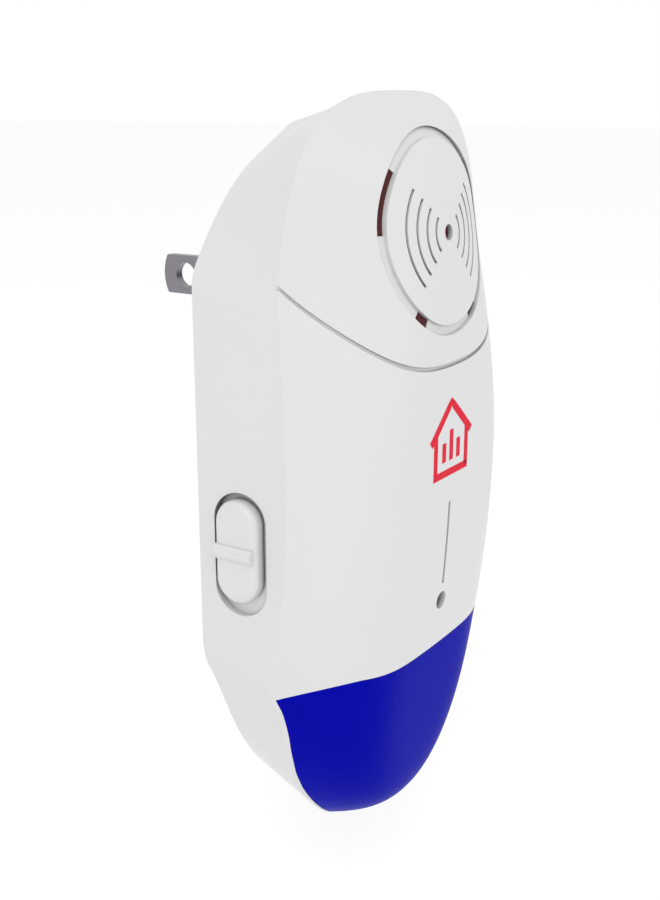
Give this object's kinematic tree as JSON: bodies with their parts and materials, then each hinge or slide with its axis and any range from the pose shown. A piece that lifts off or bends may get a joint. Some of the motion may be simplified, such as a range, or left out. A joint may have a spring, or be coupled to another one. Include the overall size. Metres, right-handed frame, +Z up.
{
  "type": "ultrasonic pest repeller",
  "caption": "Rounded wall-plug housing with a grilled speaker disc, a tinted night-light lens at the tip, a side slide switch and flat plug blades.",
  "frame": {"origin": "middle of the plug face, between the two blades", "axes": "+Y into the wall along the blades, +Z up towards the speaker end, +X to the right seen from the room"},
  "size_m": [0.06, 0.051, 0.1222],
  "materials": {
    "white_shell": "satin",
    "white_cover": "satin",
    "white_insert": "satin",
    "blade_metal": "brushed",
    "blue_lens": "gloss",
    "maroon_mesh": "matt",
    "black_plastic": "matt",
    "brass_plate": "satin",
    "ceramic_disc": "matt",
    "tinned_metal": "satin",
    "white_knob": "satin",
    "board_green": "satin",
    "screw_steel": "satin",
    "ochre_plastic": "gloss",
    "capacitor_sleeve": "gloss",
    "resistor_tan": "matt",
    "ferrite": "matt",
    "copper_wire": "gloss",
    "surge_blue": "gloss",
    "red_led": "gloss",
    "clear_led": "gloss",
    "wire_black": "satin",
    "wire_white": "satin",
    "wire_red": "satin"
  },
  "bodies": {
    "case": {"front_shell": "white_shell", "rear_cover": "white_cover", "plug_insert": "white_insert", "left_blade": "blade_metal", "right_blade": "blade_metal", "night_light_lens": "blue_lens", "dust_mesh": "maroon_mesh", "speaker_housing": "black_plastic", "speaker_brass": "brass_plate", "speaker_ceramic": "ceramic_disc", "speaker_front": "black_plastic", "speaker_terminals": "tinned_metal", "switch_case": "tinned_metal", "main_board": "board_green", "cover_screws": "screw_steel", "board_screws": "screw_steel", "film_capacitor": "ochre_plastic", "main_electrolytic": "capacitor_sleeve", "small_electrolytic": "capacitor_sleeve", "diodes": "black_plastic", "resistors": "resistor_tan", "control_chip": "black_plastic", "chip_legs": "tinned_metal", "coil_core": "ferrite", "coil_winding": "copper_wire", "surge_disc": "surge_blue", "transistor": "black_plastic", "indicator_led": "red_led", "indicator_led_legs": "tinned_metal", "left_night_led": "clear_led", "middle_night_led": "clear_led", "right_night_led": "clear_led", "night_led_legs": "tinned_metal", "live_wire": "wire_black", "neutral_wire": "wire_white", "speaker_wires": "wire_red", "solder_joints": "tinned_metal"},
    "switch": {"switch_knob": "white_knob", "switch_link": "white_insert"}
  },
  "joints": [
    {"name": "switch_slide", "type": "slide", "parent": "case", "child": "switch", "axis": [0, 0, 1], "range_m": [-0.002, 0]}
  ]
}
